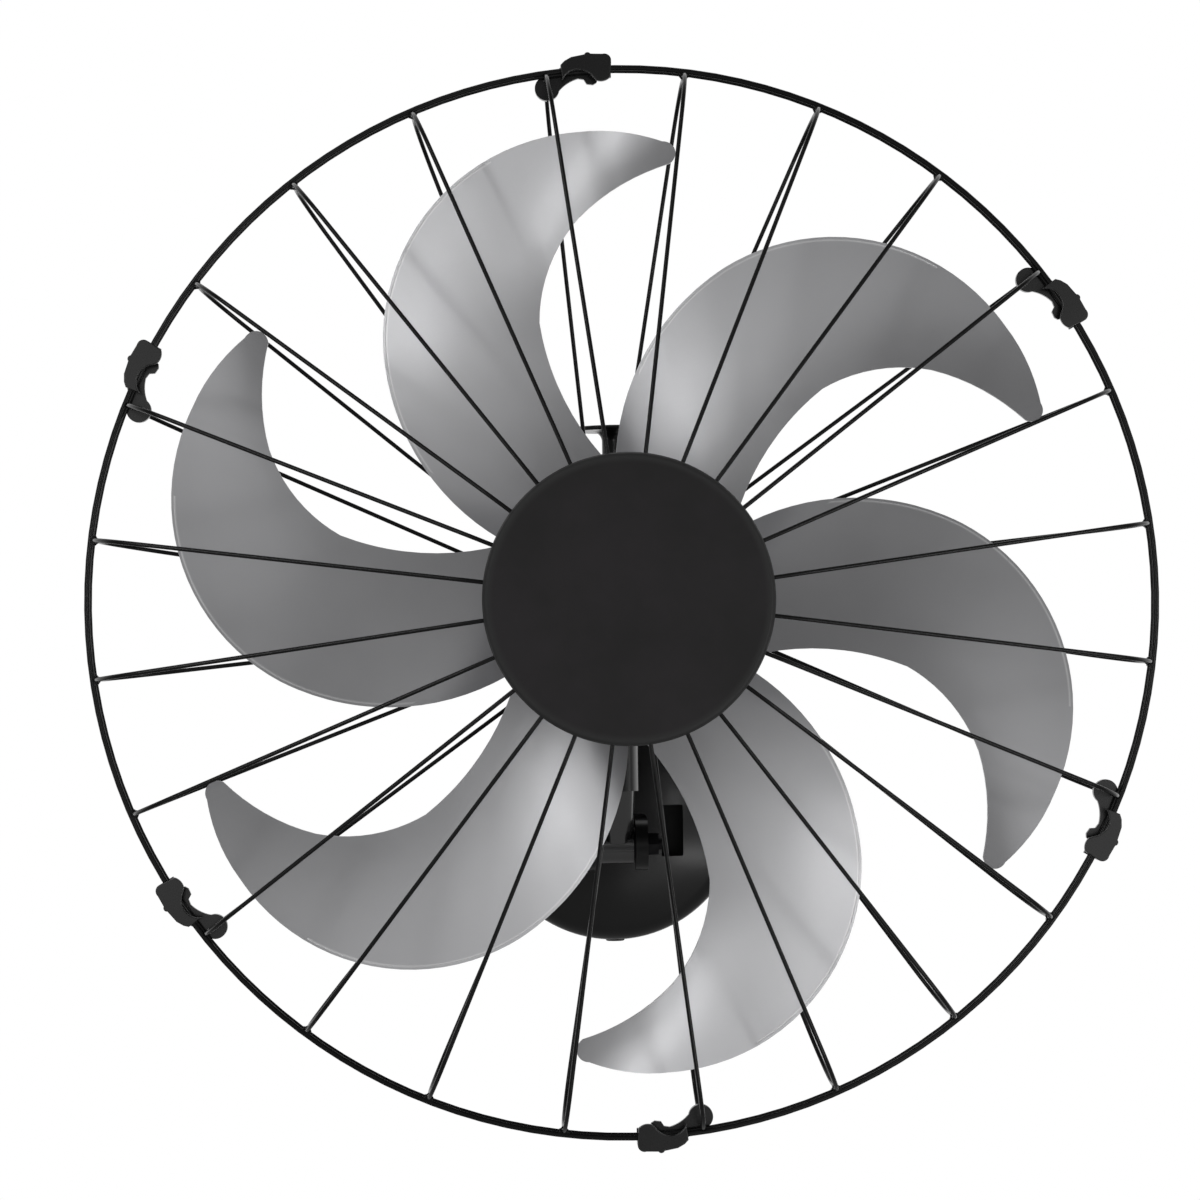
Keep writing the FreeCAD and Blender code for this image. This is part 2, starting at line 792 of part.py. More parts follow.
def lid_screw(owner, x, y, seat):
    drawing = sketch(owner, "XZ_Plane", -y)
    centre_line(drawing, (x, seat - 20), (x, seat + 20))
    outline(drawing, [
        (x, seat + 2),
        (x + 1.6, seat + 2),
        (x + 2.6, seat + 1.4, "arc"),
        (x + 3, seat + 0.4),
        (x + 3, seat),
        (x + 1.5, seat),
        (x + 1.5, seat - 11),
        (x, seat - 11),
    ])
    return revolve(owner, drawing, "Axis0")


def along_y(edge):
    first, last = edge.Vertexes[0].Point, edge.Vertexes[-1].Point
    return abs(first.x - last.x) < 0.01 and abs(first.z - last.z) < 0.01


def run_capacitor():
    made = body("run_capacitor", axis_height)
    back = cover_back + 12
    pad(made, box(sketch(made, "XZ_Plane", back), 22.3, -19, 36, 15), 26)
    fillet(made, 2, along_y)


def motor_cover():
    inner = cover_radius - cover_wall
    inside = cover_back + cover_wall
    round_off = 22
    shell = turned("motor_cover", [
        (motor_front - 0.1, inner),
        (motor_front - 0.1, cover_radius),
        (cover_back + round_off, cover_radius),
        (cover_back + round_off * 0.29, cover_radius - round_off * 0.29, "arc"),
        (cover_back, cover_radius - round_off),
        (cover_back, 0),
        (inside, 0),
        (inside, cover_radius - round_off),
        (inside + (round_off - cover_wall) * 0.29, inner - (round_off - cover_wall) * 0.29, "arc"),
        (cover_back + round_off, inner),
    ])
    collar = circle(sketch(shell, "XY_Plane", inner - 0.5), 0, -knob_reach, knob_stem_radius + 5)
    pad(shell, collar, 12)
    hole = circle(sketch(shell, "XY_Plane"), 0, -knob_reach, knob_stem_radius + 0.6)
    pocket(shell, hole, ahead=True)
    pocket(shell, circle(sketch(shell, "XY_Plane"), 0, -pivot_reach, socket_radius + 2))
    posts = sketch(shell, "XZ_Plane", inside - 1)
    for x in (-17, 17):
        circle(posts, x, 14, 4.5)
    pad(shell, posts, 8 - cover_wall + 0.9)
    holes = sketch(shell, "XZ_Plane", cover_back - 1)
    for x in (-17, 17):
        circle(holes, x, 14, 2.15)
    pocket(shell, holes, 11, ahead=True)
    vent = outline(sketch(shell, "XZ_Plane", cover_back + 40), [
        (-2, 30),
        (-2, 46),
        (0, 48, "arc"),
        (2, 46),
        (2, 30),
        (0, 28, "arc"),
    ])
    polar(shell, [pocket(shell, vent)], 18, cuts=True)
    screws = body("cover_screws", axis_height)
    for x in (-17, 17):
        back_screw(screws, cover_back - 0.1, x, 14, 3.6, 2.2, 2, 20)


def oscillation_knob():
    made = body("oscillation_knob", axis_height)
    drawing = sketch(made, "YZ_Plane")
    centre_line(drawing, (-knob_reach, 20), (-knob_reach, 150))
    stem = -knob_reach + knob_stem_radius
    under = knob_top - 3.6
    outline(drawing, [
        (-knob_reach, 45),
        (stem - 1, 45),
        (stem, 46),
        (stem, under - 6),
        (stem + 1.8, under - 1.8, "arc"),
        (stem + 6, under),
        (-knob_reach + knob_radius - 1.2, under),
        (-knob_reach + knob_radius, under + 1.2, "arc"),
        (-knob_reach + knob_radius - 1, under + 2.6),
        (-knob_reach, knob_top),
    ])
    revolve(made, drawing, "Axis0")


# Guards
def guard_ring(label, radius, reach, wire):
    made = body(label, axis_height)
    revolve(made, circle(sketch(made, "YZ_Plane"), -reach, radius, wire / 2))


def guard_spokes(label, start, side, stub, turn, stub_radius, end_radius, lean=0):
    # Side is 1 for spokes that run forward from the ring and -1 for spokes that run back.
    # Lean turns each spoke about its straight end, so that it passes beside the axis.
    made = body(label, axis_height, 180 / spoke_count)
    bend_end = stub_radius - bend_radius * (1 - cos(turn))
    flat_start = flat_radius + hub_bend_radius * cos(turn)
    bend_reach = stub + bend_radius * sin(turn)
    slope = (bend_end - flat_start) * cos(turn) / sin(turn)
    flat_reach = bend_reach + slope + hub_bend_radius * (1 - sin(turn))
    half = turn / 2
    late = (turn + 90) / 2
    points = [
        (0, stub_radius),
        (stub, stub_radius),
        (stub + bend_radius * sin(half), stub_radius - bend_radius * (1 - cos(half)), "arc"),
        (bend_reach, bend_end),
        (bend_reach + slope, flat_start),
        (flat_reach - hub_bend_radius * (1 - sin(late)), flat_radius + hub_bend_radius * cos(late), "arc"),
        (flat_reach, flat_radius),
        (flat_reach, end_radius),
    ]
    path = sketch(made, "YZ_Plane")
    outline(path, [(-(start + p[0] * side),) + tuple(p[1:]) for p in points], closed=False)
    lean_about(path, stub_radius, lean)
    wire = circle(sketch(made, "XZ_Plane", start), 0, stub_radius, spoke_wire / 2)
    sweep, before = feature(made, "AdditivePipe", wire)
    sweep.Spine = path
    settle(made, sweep, before)
    polar(made, [sweep], spoke_count)


def lean_about(drawing, radius, angle):
    # Turns a drawing on the YZ plane about the line that runs forward at this radius.
    angle = wrap(angle)
    aside = -radius * sin(angle)
    up = radius * (1 - cos(angle))
    drawing.AttachmentOffset = FreeCAD.Placement(
        FreeCAD.Vector(0, up.value, aside.value),
        FreeCAD.Rotation(FreeCAD.Vector(1, 0, 0), angle.value),
    )
    drawing.setExpression("AttachmentOffset.Base.y", up.text)
    drawing.setExpression("AttachmentOffset.Base.z", aside.text)
    drawing.setExpression("AttachmentOffset.Rotation.Angle", angle.text)


def rear_guard():
    guard_ring("rear_guard_ring", rear_ring_radius, ring_reach - 0.15 - ring_wire / 2, ring_wire)
    ring_side = ring_reach - 0.15
    guard_spokes("rear_guard_spokes", ring_side, -1, rear_stub, rear_turn, rear_stub_radius, 58, rear_lean)
    plate = body("rear_guard_plate", axis_height)
    drawing = circle(sketch(plate, "XZ_Plane", plate_back), 0, 0, plate_radius)
    circle(drawing, 0, 0, shaft_radius + 10)
    for x, z in ((0, 30), (30, 0), (0, -30), (-30, 0)):
        circle(drawing, x, z, 2.2)
    pad(plate, drawing, plate_sheet)
    screws = body("guard_screws", axis_height)
    for x, z in ((0, 30), (30, 0), (0, -30), (-30, 0)):
        front_screw(screws, plate_front + 0.05, x, z, 4, 2.4, 2, 8)


def front_guard():
    guard_ring("front_guard_ring", front_ring_radius, ring_reach + 0.15 + ring_wire / 2, ring_wire)
    guard_spokes("front_guard_spokes", ring_reach + 0.15, 1, front_stub, front_turn, front_stub_radius, 58)
    hub_reach = front_flat - spoke_wire / 2 - ring_wire / 2 - lap_gap
    guard_ring("front_guard_hub_ring", 63, hub_reach, ring_wire)
    badge = turned("centre_badge", [
        (badge_back, 0),
        (badge_back, 51),
        (hub_reach - ring_wire / 2 - 2.2, 51),
        (hub_reach - ring_wire / 2 - 2.2, 54),
        (badge_back, 54),
        (badge_back, badge_radius - 1),
        (badge_back + 0.6, badge_radius, "arc"),
        (badge_back + badge_depth - 3.2, badge_radius),
        (badge_back + badge_depth - 1.6, badge_radius - 0.6, "arc"),
        (badge_back + badge_depth - 0.8, badge_radius - 3),
        (badge_back + badge_depth - 0.3, badge_radius * 0.6),
        (badge_back + badge_depth, badge_radius * 0.2),
        (badge_back + badge_depth, 0),
    ])
    hook = hub_reach - ring_wire / 2 - 0.15
    catch = box(sketch(badge, "XZ_Plane", hook - 2), -5, 52.5, 5, 62)
    polar(badge, [pad(badge, catch, 2)], 4)


def on_ring(radius, degrees):
    # A point at a radius from the fan axis, at an angle clockwise from straight up.
    a = math.radians(degrees)
    return radius * math.sin(a), radius * math.cos(a)


def guard_clip(number):
    made = body(f"guard_clip_{number}", axis_height, clip_first_angle + 60 * (number - 1))
    pivot = rear_stub_radius
    clear = ring_wire + 0.6
    back_face = ring_reach - clear - clip_depth
    front_face = ring_reach + clear + clip_depth
    outside = guard_radius + 0.4
    crown = [
        on_ring(outside + 2.2, 7.1),
        on_ring(outside + 4.6, 6.85) + ("arc",),
        on_ring(outside + 5.4, 6.2),
        on_ring(outside + 5.8, 4.95),
        on_ring(outside + 6.7, 4.65) + ("arc",),
        on_ring(outside + 5.6, 4.3),
        on_ring(outside + 4.7, 2.9),
        on_ring(outside + 2.9, 2.15),
        on_ring(outside + 0.9, 1.7),
    ]
    head = circle(sketch(made, "XZ_Plane", back_face - 1.4), 0, pivot - 4, clip_head_radius)
    pad(made, head, clip_depth + 1.4)
    strap = outline(sketch(made, "XZ_Plane", back_face), [
        on_ring(pivot - 9, 0.8),
        on_ring(pivot - 3.2, 2.1) + ("arc",),
        on_ring(pivot - 0.5, 3.5),
        on_ring(pivot - 1.2, 4.1),
        on_ring(pivot - 3.9, 4.4),
        on_ring(pivot - 4.5, 5.1),
        on_ring(pivot - 3.4, 5.5),
        on_ring(pivot - 0.8, 5.7),
        on_ring(pivot - 0.8, 7.1),
    ] + crown + [on_ring(pivot + 2.2, 0.4)])
    pad(made, strap, clip_depth)
    wall = outline(sketch(made, "XZ_Plane", back_face), [
        on_ring(outside, 1.7),
        on_ring(outside, 4.4) + ("arc",),
        on_ring(outside, 7.1),
    ] + crown)
    pad(made, wall, clear * 2 + clip_depth * 2)
    cheek = outline(sketch(made, "XZ_Plane", ring_reach + clear), [
        on_ring(pivot - 2.2, 1.7),
        on_ring(pivot + 3, 3.6) + ("arc",),
        on_ring(pivot - 2, 5.1),
        on_ring(pivot - 3.8, 5.5),
        on_ring(pivot - 4.1, 6.2) + ("arc",),
        on_ring(pivot - 2.2, 6.95),
        on_ring(outside, 7.1),
    ] + crown)
    pad(made, cheek, clip_depth)
    bore = circle(sketch(made, "XZ_Plane", ring_reach), 0, pivot, spoke_wire / 2 + running_gap)
    pocket(made, bore)
    fillet(made, 0.6, lambda e: all(abs(v.Point.y + front_face.value) < 0.01 for v in e.Vertexes))


# Impeller
def along_blade(millimetres):
    # Blade outlines are drawn for a 265 mm impeller and scale with its radius.
    return impeller_radius * (millimetres / 265)


def blade_section(owner, height, shift, pitch, hollow):
    # A thin cambered strip across the blade: hollow towards the front, tail edge forward.
    lean = wrap(pitch)
    long = along_blade(140)
    thick = blade_thickness / 2
    drawing = sketch(owner, "XY_Plane", along_blade(height))
    path = []
    for side in (1, -1):
        du = -sin(lean) * thick * side
        dq = cos(lean) * thick * side
        middle = (along_blade(shift) + du, blade_centre + dq)
        rise = (-sin(lean) * hollow, cos(lean) * hollow)
        ends = [
            (middle[0] + cos(lean) * long * k + rise[0], middle[1] + sin(lean) * long * k + rise[1])
            for k in (-side, side)
        ]
        path += [ends[0], middle + ("arc",), ends[1]]
    return outline(drawing, [(p[0], -p[1]) + tuple(p[2:]) for p in path])


blade_sections = [
    (40, -6, 37, 35.4),
    (100, -20, 29, 27.2),
    (160, -16, 22, 19),
    (220, 12, 15, 6.8),
    (280, 24, 11, 4.1),
]
blade_outline = [
    (-39.0, 50.2),
    (-70.2, 117.7, "arc"),
    (-62.1, 188.2),
    (-2.7, 247.8, "arc"),
    (85.0, 248.6),
    (107.5, 237.0, "arc"),
    (124.6, 221.6),
    (128.4, 213.8, "arc"),
    (122.6, 208.0),
    (98.0, 210.0, "arc"),
    (65.5, 203.6),
    (37.6, 183.8, "arc"),
    (21.9, 160.2),
    (16.2, 115.5, "arc"),
    (27.7, 62.1),
]


def impeller():
    made = body("impeller", axis_height, blade_angle)
    strips = [blade_section(made, *row) for row in blade_sections]
    slab, before = feature(made, "AdditiveLoft", strips[0])
    slab.Sections = strips[1:]
    settle(made, slab, before)
    trim = box(sketch(made, "XZ_Plane"), -900, -900, 900, 900)
    outline(trim, [(along_blade(p[0]), along_blade(p[1])) + tuple(p[2:]) for p in blade_outline])
    pocket(made, trim, both=True)
    spread = polar_whole(made, blade_count)
    inside = hub_radius - 1.5
    core = box(sketch(made, "YZ_Plane"), -hub_back + 60, 0, -hub_front - 60, inside)
    groove(made, core)
    boss = hub_back + 26
    hub = outline(sketch(made, "YZ_Plane"), [
        (-hub_back, hub_radius - 3),
        (-hub_back, hub_radius),
        (-hub_front + 6, hub_radius),
        (-hub_front + 1.8, hub_radius - 1.8, "arc"),
        (-hub_front, hub_radius - 6),
        (-hub_front, shaft_radius + 0.05),
        (-boss, shaft_radius + 0.05),
        (-boss, shaft_radius + 7),
        (-hub_front + 3, shaft_radius + 7),
        (-hub_front + 3, hub_radius - 6),
        (-hub_front + 6, hub_radius - 3),
    ])
    revolve(made, hub)
    rib = box(sketch(made, "XZ_Plane", boss + 12), -1.2, shaft_radius + 6, 1.2, hub_radius - 2)
    polar(made, [pad(made, rib, hub_front - boss - 13)], blade_count)
    slot = box(sketch(made, "XZ_Plane", boss), -14, -1.6, 14, 1.6)
    pocket(made, slot, 4.6, ahead=True)
    return spread


def polar_whole(owner, count):
    made, before = feature(owner, "PolarPattern")
    made.TransformMode = "Whole shape"
    made.Axis = (origin_part(owner, "Y_Axis"), [""])
    made.Angle = 360
    made.setExpression("Occurrences", wrap(count).text)
    return settle(owner, made, before)


def impeller_nut():
    thread = shaft_radius - 1 + 0.06
    nut = turned("impeller_nut", [
        (hub_front + 0.4, thread),
        (hub_front + 0.4, 15.5),
        (hub_front + 8, 14.5),
        (hub_front + 13.3, 12.3, "arc"),
        (hub_front + 15.5, 7),
        (hub_front + 15.5, 0),
        (hub_front + 12.6, 0),
        (hub_front + 12.6, thread),
    ])
    flute = circle(sketch(nut, "XZ_Plane", hub_front), 0, 17, 3)
    polar(nut, [pocket(nut, flute, ahead=True)], 10, cuts=True)


def write_parts():
    os.makedirs("parts", exist_ok=True)
    doc.recompute()
    for made in nodes:
        problems = [f.Name for f in [made] + list(made.Group) if {"Invalid", "Error"} & set(f.State)]
        if problems or made.Shape.isNull() or not made.Shape.isValid():
            raise RuntimeError(f"{made.Label}: {problems or 'no valid shape'}")
        made.Shape.exportStep(f"parts/{made.Label}.step")


wall_bracket()
canopy()
canopy_screws()
cable_grommet()
tilt_hinge()
neck_arm()
pivot_parts()
motor_bells()
stator()
rotor()
bearings()
tie_screws()
gearbox()
run_capacitor()
motor_cover()
oscillation_knob()
rear_guard()
front_guard()
for number in range(1, 7):
    guard_clip(number)
impeller()
impeller_nut()
write_parts()
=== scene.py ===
import math

import bpy
from mathutils import Matrix, Quaternion, Vector


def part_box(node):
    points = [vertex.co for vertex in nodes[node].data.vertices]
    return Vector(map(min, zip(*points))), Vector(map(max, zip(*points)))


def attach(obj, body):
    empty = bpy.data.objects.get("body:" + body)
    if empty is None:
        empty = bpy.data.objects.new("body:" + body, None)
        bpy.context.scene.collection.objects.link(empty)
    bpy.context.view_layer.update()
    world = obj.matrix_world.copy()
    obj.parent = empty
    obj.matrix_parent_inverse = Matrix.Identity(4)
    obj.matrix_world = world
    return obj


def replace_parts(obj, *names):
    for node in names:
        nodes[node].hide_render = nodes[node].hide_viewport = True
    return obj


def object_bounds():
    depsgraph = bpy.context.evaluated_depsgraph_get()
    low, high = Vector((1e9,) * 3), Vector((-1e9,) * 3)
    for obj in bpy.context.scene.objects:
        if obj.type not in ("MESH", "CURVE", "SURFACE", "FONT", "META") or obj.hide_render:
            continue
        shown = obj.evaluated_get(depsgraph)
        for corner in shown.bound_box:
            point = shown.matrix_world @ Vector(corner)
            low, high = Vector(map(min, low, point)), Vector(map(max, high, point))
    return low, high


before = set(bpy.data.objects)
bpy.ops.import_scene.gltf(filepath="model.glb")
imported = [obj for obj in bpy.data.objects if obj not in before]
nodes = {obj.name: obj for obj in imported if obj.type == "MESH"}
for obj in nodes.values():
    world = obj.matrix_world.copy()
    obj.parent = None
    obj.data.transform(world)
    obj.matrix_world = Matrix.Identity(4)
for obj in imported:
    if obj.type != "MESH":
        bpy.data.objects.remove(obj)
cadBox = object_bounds()
print("frame loaded with", len(nodes), "pieces")

# the fan's axis, and its middle in the plane of the front ring, read from the frame
ringLow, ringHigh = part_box("front_guard_ring")
fanAxis = Vector((0.0, 0.0, (ringLow.z + ringHigh.z) / 2))
fanMiddle = fanAxis + Vector((0.0, ringHigh.y, 0.0))


# shader sums
class Tap:
    def __init__(self, paint, socket):
        self.paint = paint
        self.socket = socket

    def sum(self, operation, first, second):
        return self.paint.calc(operation, first, second)

    def __add__(self, other):
        return self.sum("ADD", self, other)

    def __radd__(self, other):
        return self.sum("ADD", other, self)

    def __sub__(self, other):
        return self.sum("SUBTRACT", self, other)

    def __rsub__(self, other):
        return self.sum("SUBTRACT", other, self)

    def __mul__(self, other):
        return self.sum("MULTIPLY", self, other)

    def __rmul__(self, other):
        return self.sum("MULTIPLY", other, self)

    def __truediv__(self, other):
        return self.sum("DIVIDE", self, other)

    def __pow__(self, other):
        return self.sum("POWER", self, other)


class Paint:
    def __init__(self, tree):
        self.tree = tree

    # one way to every node: its settings first, then what goes into its sockets
    def node(self, kind, settings, sockets, out=0):
        made = self.tree.nodes.new(kind)
        for key, value in settings.items():
            setattr(made, key, value)
        for key, value in sockets.items():
            self.feed(made.inputs[key], value)
        return Tap(self, made.outputs[out])

    def feed(self, socket, value):
        if isinstance(value, Tap):
            self.tree.links.new(value.socket, socket)
        else:
            socket.default_value = value

    # what changes over the surface of a finish
    def coat(self, shade, rough, normal):
        for socket, value in (("Base Color", shade), ("Roughness", rough), ("Normal", normal)):
            self.feed(self.shader.inputs[socket], value)
        return self.material

    def calc(self, operation, *values):
        return self.node("ShaderNodeMath", {"operation": operation}, dict(enumerate(values)))

    def place(self, kind="Object"):
        return self.node("ShaderNodeTexCoord", {}, {}, kind)

    def along(self, axis, where):
        return self.node("ShaderNodeSeparateXYZ", {}, {0: where}, axis)

    # to the right of the fan's axis, above it, and straight out from it
    def fromAxis(self):
        x, z = (self.along(axis, self.place()) for axis in "XZ")
        z = z - fanAxis.z
        return x, z, (x * x + z * z) ** 0.5

    def ray(self, kind):
        return self.node("ShaderNodeLightPath", {}, {}, kind)

    def seenMirrored(self):
        return self.calc("MAXIMUM", self.ray("Is Glossy Ray"), self.ray("Is Transmission Ray"))

    def noise(self, scale, detail, rough=0.5, where=None):
        return self.node("ShaderNodeTexNoise", {}, {
            "Vector": where or self.place(), "Scale": scale, "Detail": detail, "Roughness": rough}, "Fac")

    def stretch(self, scale):
        return self.node("ShaderNodeMapping", {}, {"Vector": self.place(), "Scale": scale})

    def step(self, value, low, high):
        return self.node("ShaderNodeMapRange", {"interpolation_type": "SMOOTHSTEP"}, {
            "Value": value, "From Min": low, "From Max": high})

    def blend(self, share, first, second):
        return self.node("ShaderNodeMix", {"data_type": "RGBA"}, {
            "Factor": share, 6: first, 7: second}, 2)

    def bump(self, height, strength, depth, below=None):
        sockets = {"Height": height, "Strength": strength, "Distance": depth}
        if below:
            sockets["Normal"] = below
        return self.node("ShaderNodeBump", {}, sockets)


def newFinish(name, fixed):
    material = bpy.data.materials.new(name)
    material.use_nodes = True
    paint = Paint(material.node_tree)
    paint.shader = material.node_tree.nodes["Principled BSDF"]
    paint.material = material
    for socket, value in fixed.items():
        paint.feed(paint.shader.inputs[socket], value)
    return paint


def grey(value):
    return (value, value, value, 1.0)


# in every look: noise as scale, detail and roughness, bump as strength and depth, a step as its two ends

# gloss paint over wire: a little orange peel, faint dusty patches
wirePaintLook = {"dark": 0.002, "dust": 0.004, "rough": 0.2, "roughMore": 0.1, "shine": 0.22,
                 "cloud": (38.0, 4.0), "dusty": (0.45, 0.75), "peel": (620.0, 2.0), "bump": (0.08, 0.0002)}


def makeWirePaint():
    look = wirePaintLook
    p = newFinish("glossWirePaint", {"Specular IOR Level": look["shine"]})
    cloud = p.noise(*look["cloud"])
    shade = p.blend(p.step(cloud, *look["dusty"]), grey(look["dark"]), grey(look["dust"]))
    rough = look["rough"] + cloud * look["roughMore"]
    return p.coat(shade, rough, p.bump(p.noise(*look["peel"]), *look["bump"]))


# moulded black with a fine spark grain, and what differs from it in each moulding and sheet paint
moulding = {"dark": 0.007, "light": 0.012, "rough": 0.44, "roughMore": 0.14, "shine": 0.3,
            "cloud": (26.0, 5.0), "grain": (2300.0, 1.0), "bump": (0.25, 0.00012)}
mouldings = {
    "satinSheetPaint": {"dark": 0.004, "light": 0.008, "rough": 0.24, "roughMore": 0.1,
                        "grain": (700.0, 1.0), "bump": (0.08, 0.00012)},
    "glossNeckPaint": {"rough": 0.16, "roughMore": 0.08, "shine": 1.0,
                       "grain": (700.0, 1.0), "bump": (0.05, 0.00012)},
    "blackMoulding": {"dark": 0.014, "light": 0.021, "shine": 0.4},
    "glossMoulding": {"dark": 0.004, "light": 0.007, "rough": 0.22, "roughMore": 0.06,
                      "grain": (240.0, 1.0), "bump": (0.05, 0.00012)},
    "clipMoulding": {"dark": 0.003, "light": 0.006, "rough": 0.18, "roughMore": 0.1, "shine": 0.55,
                     "bump": (0.1, 0.00012)},
    "softRubber": {"dark": 0.014, "light": 0.022, "rough": 0.66},
}


def makeMoulding(name, look):
    p = newFinish(name, {"Specular IOR Level": look["shine"]})
    cloud = p.noise(*look["cloud"])
    shade = p.blend(cloud, grey(look["dark"]), grey(look["light"]))
    rough = look["rough"] + cloud * look["roughMore"]
    return p.coat(shade, rough, p.bump(p.noise(*look["grain"]), *look["bump"]))


# the badge: the same grain, with slow blotches, and a painted highlight that makes its rim a little paler
badgeLook = {**moulding, "dark": (0.0085, 0.008, 0.0083, 1.0), "light": (0.0148, 0.013, 0.0145, 1.0),
             "paintedHighlight": grey(0.019), "rim": (0.0725, 0.0765), "blotch": (13.0, 5.0, 0.6), "blotchy": (0.3, 0.7),
             "rough": 0.46, "roughMore": 0.16, "shine": 0.25}


def makeBadge():
    look = badgeLook
    p = newFinish("badgeMoulding", {"Specular IOR Level": look["shine"]})
    x, z, reach = p.fromAxis()
    blotch = p.noise(*look["blotch"])
    shade = p.blend(p.step(blotch, *look["blotchy"]), look["dark"], look["light"])
    # painted highlight: the rim paler, where its rounded edge would catch the light
    shade = p.blend(p.step(reach, *look["rim"]), shade, look["paintedHighlight"])
    rough = look["rough"] + blotch * look["roughMore"]
    return p.coat(shade, rough, p.bump(p.noise(*look["grain"]), *look["bump"]))


# silver moulding: pearl flakes, slow flow marks, and a painted highlight along the blades' leading edges
silverLook = {"dark": (0.36, 0.36, 0.37, 1.0), "light": (0.41, 0.41, 0.42, 1.0), "metal": 0.75,
              "rough": 0.3, "roughMore": 0.07, "flow": (1.0, 4.0, 0.55), "flowStretch": (16.0, 8.0, 16.0),
              "flake": (3800.0, 1.0), "flaky": (0.55, 0.8), "flakeShare": 0.25, "flakeShade": grey(0.5),
              "bump": (0.06, 0.0001)}

# the thin lip on the blades' leading edges, with a pale painted highlight line along it: it lies on two arcs
# of each blade, between the hub and the tip; angles in degrees, the arcs' points in metres across and out
# from the axis
lipLook = {
    "wide": 0.0014, "soft": 0.0005, "bump": (0.5, 0.0003), "rimShare": 0.4, "rimShade": grey(0.8),
    "hub": 0.073, "tip": 8.0, "firstBlade": -23.8, "sector": (-31.0, 29.0), "arcs": [
        {"from": -90.0, "points": [(-0.039, 0.0502), (-0.0702, 0.1177), (-0.0621, 0.1882)]},
        {"from": -18.3, "points": [(-0.0621, 0.1882), (-0.0027, 0.2478), (0.085, 0.2486)]},
    ],
}


def circleThrough(first, second, third):
    (ax, ay), (bx, by), (cx, cy) = first, second, third
    twice = 2 * (ax * (by - cy) + bx * (cy - ay) + cx * (ay - by))
    a, b, c = (x * x + y * y for x, y in (first, second, third))
    x = (a * (by - cy) + b * (cy - ay) + c * (ay - by)) / twice
    y = (a * (cx - bx) + b * (ax - cx) + c * (bx - ax)) / twice
    return x, y, math.hypot(ax - x, ay - y)


# how far a point lies inside the leading edge of its blade
def insideEdge(p):
    look = lipLook
    x, z, reach = p.fromAxis()
    low, high = (math.radians(angle) for angle in look["sector"])
    turn = p.calc("ARCTAN2", x, z) - math.radians(look["firstBlade"])
    turn = p.calc("WRAP", turn, high, low)
    across, outward = reach * p.calc("SINE", turn), reach * p.calc("COSINE", turn)
    inside = 1.0
    for arc in look["arcs"]:
        cx, cy, radius = circleThrough(*arc["points"])
        gap = radius - ((across - cx) ** 2.0 + (outward - cy) ** 2.0) ** 0.5
        inside = inside + p.calc("GREATER_THAN", turn, math.radians(arc["from"])) * (gap - inside)
    onHub = p.calc("LESS_THAN", reach, look["hub"])
    onTip = p.calc("GREATER_THAN", turn, math.radians(look["tip"]))
    return inside + onHub + onTip


def makeSilver():
    look, lip = silverLook, lipLook
    p = newFinish("silverMoulding", {"Metallic": look["metal"]})
    flow = p.noise(*look["flow"], p.stretch(look["flowStretch"]))
    flake = p.noise(*look["flake"])
    shade = p.blend(flow, look["dark"], look["light"])
    shade = p.blend(p.step(flake, *look["flaky"]) * look["flakeShare"], shade, look["flakeShade"])
    inside = insideEdge(p)
    wide, soft = lip["wide"], lip["soft"]
    raised = 1.0 - p.step(inside, wide, wide + soft)
    # painted highlight: a pale line just inside the lip, where the edge's thickness would catch the light
    rim = p.step(inside, wide - soft, wide + soft) * (1.0 - p.step(inside, wide + soft, wide + 3 * soft))
    shade = p.blend(rim * lip["rimShare"], shade, lip["rimShade"])
    rough = look["rough"] + flow * look["roughMore"]
    return p.coat(shade, rough, p.bump(raised, *lip["bump"], p.bump(flake, *look["bump"])))


# bare metal, cloudy with a fine grain, and what differs from it in each kind
bareMetal = {"cloud": (120.0, 4.0), "cloudy": (0.3, 0.7), "grain": (1400.0, 2.0), "bump": (0.12, 0.0001)}
metals = {
    "zincSteel": {"dark": (0.42, 0.43, 0.45, 1.0), "light": (0.62, 0.62, 0.60, 1.0),
                  "rough": 0.24, "roughMore": 0.22},
    "blackenedSteel": {"dark": (0.012, 0.012, 0.013, 1.0), "light": (0.024, 0.024, 0.025, 1.0),
                       "rough": 0.34, "roughMore": 0.16},
    "castAlloy": {"dark": (0.45, 0.45, 0.46, 1.0), "light": (0.62, 0.62, 0.63, 1.0),
                  "rough": 0.42, "roughMore": 0.2,
                  "cloud": (60.0, 4.0), "grain": (900.0, 2.0), "bump": (0.3, 0.0001)},
    "copperWire": {"dark": (0.42, 0.16, 0.07, 1.0), "light": (0.66, 0.3, 0.14, 1.0),
                   "rough": 0.28, "roughMore": 0.15,
                   "cloud": (90.0, 4.0), "grain": (700.0, 2.0), "bump": (0.3, 0.0001)},
    "sinteredBronze": {"dark": (0.38, 0.25, 0.12, 1.0), "light": (0.55, 0.4, 0.2, 1.0),
                       "rough": 0.38, "roughMore": 0.2,
                       "cloud": (150.0, 4.0), "grain": (1800.0, 2.0), "bump": (0.3, 0.0001)},
}


def makeMetal(name, look):
    p = newFinish(name, {"Metallic": 1.0})
    cloud = p.noise(*look["cloud"])
    shade = p.blend(p.step(cloud, *look["cloudy"]), look["dark"], look["light"])
    rough = look["rough"] + cloud * look["roughMore"]
    return p.coat(shade, rough, p.bump(p.noise(*look["grain"]), *look["bump"]))


# stacked sheets: fine lines across the motor's axis
coreLook = {"dark": (0.09, 0.09, 0.095, 1.0), "light": (0.3, 0.3, 0.31, 1.0), "metal": 0.9,
            "rough": 0.35, "roughMore": 0.2, "cloud": (70.0, 4.0),
            "sheet": 0.0005, "lines": (0.1, 0.4), "bump": (0.4, 0.0002)}


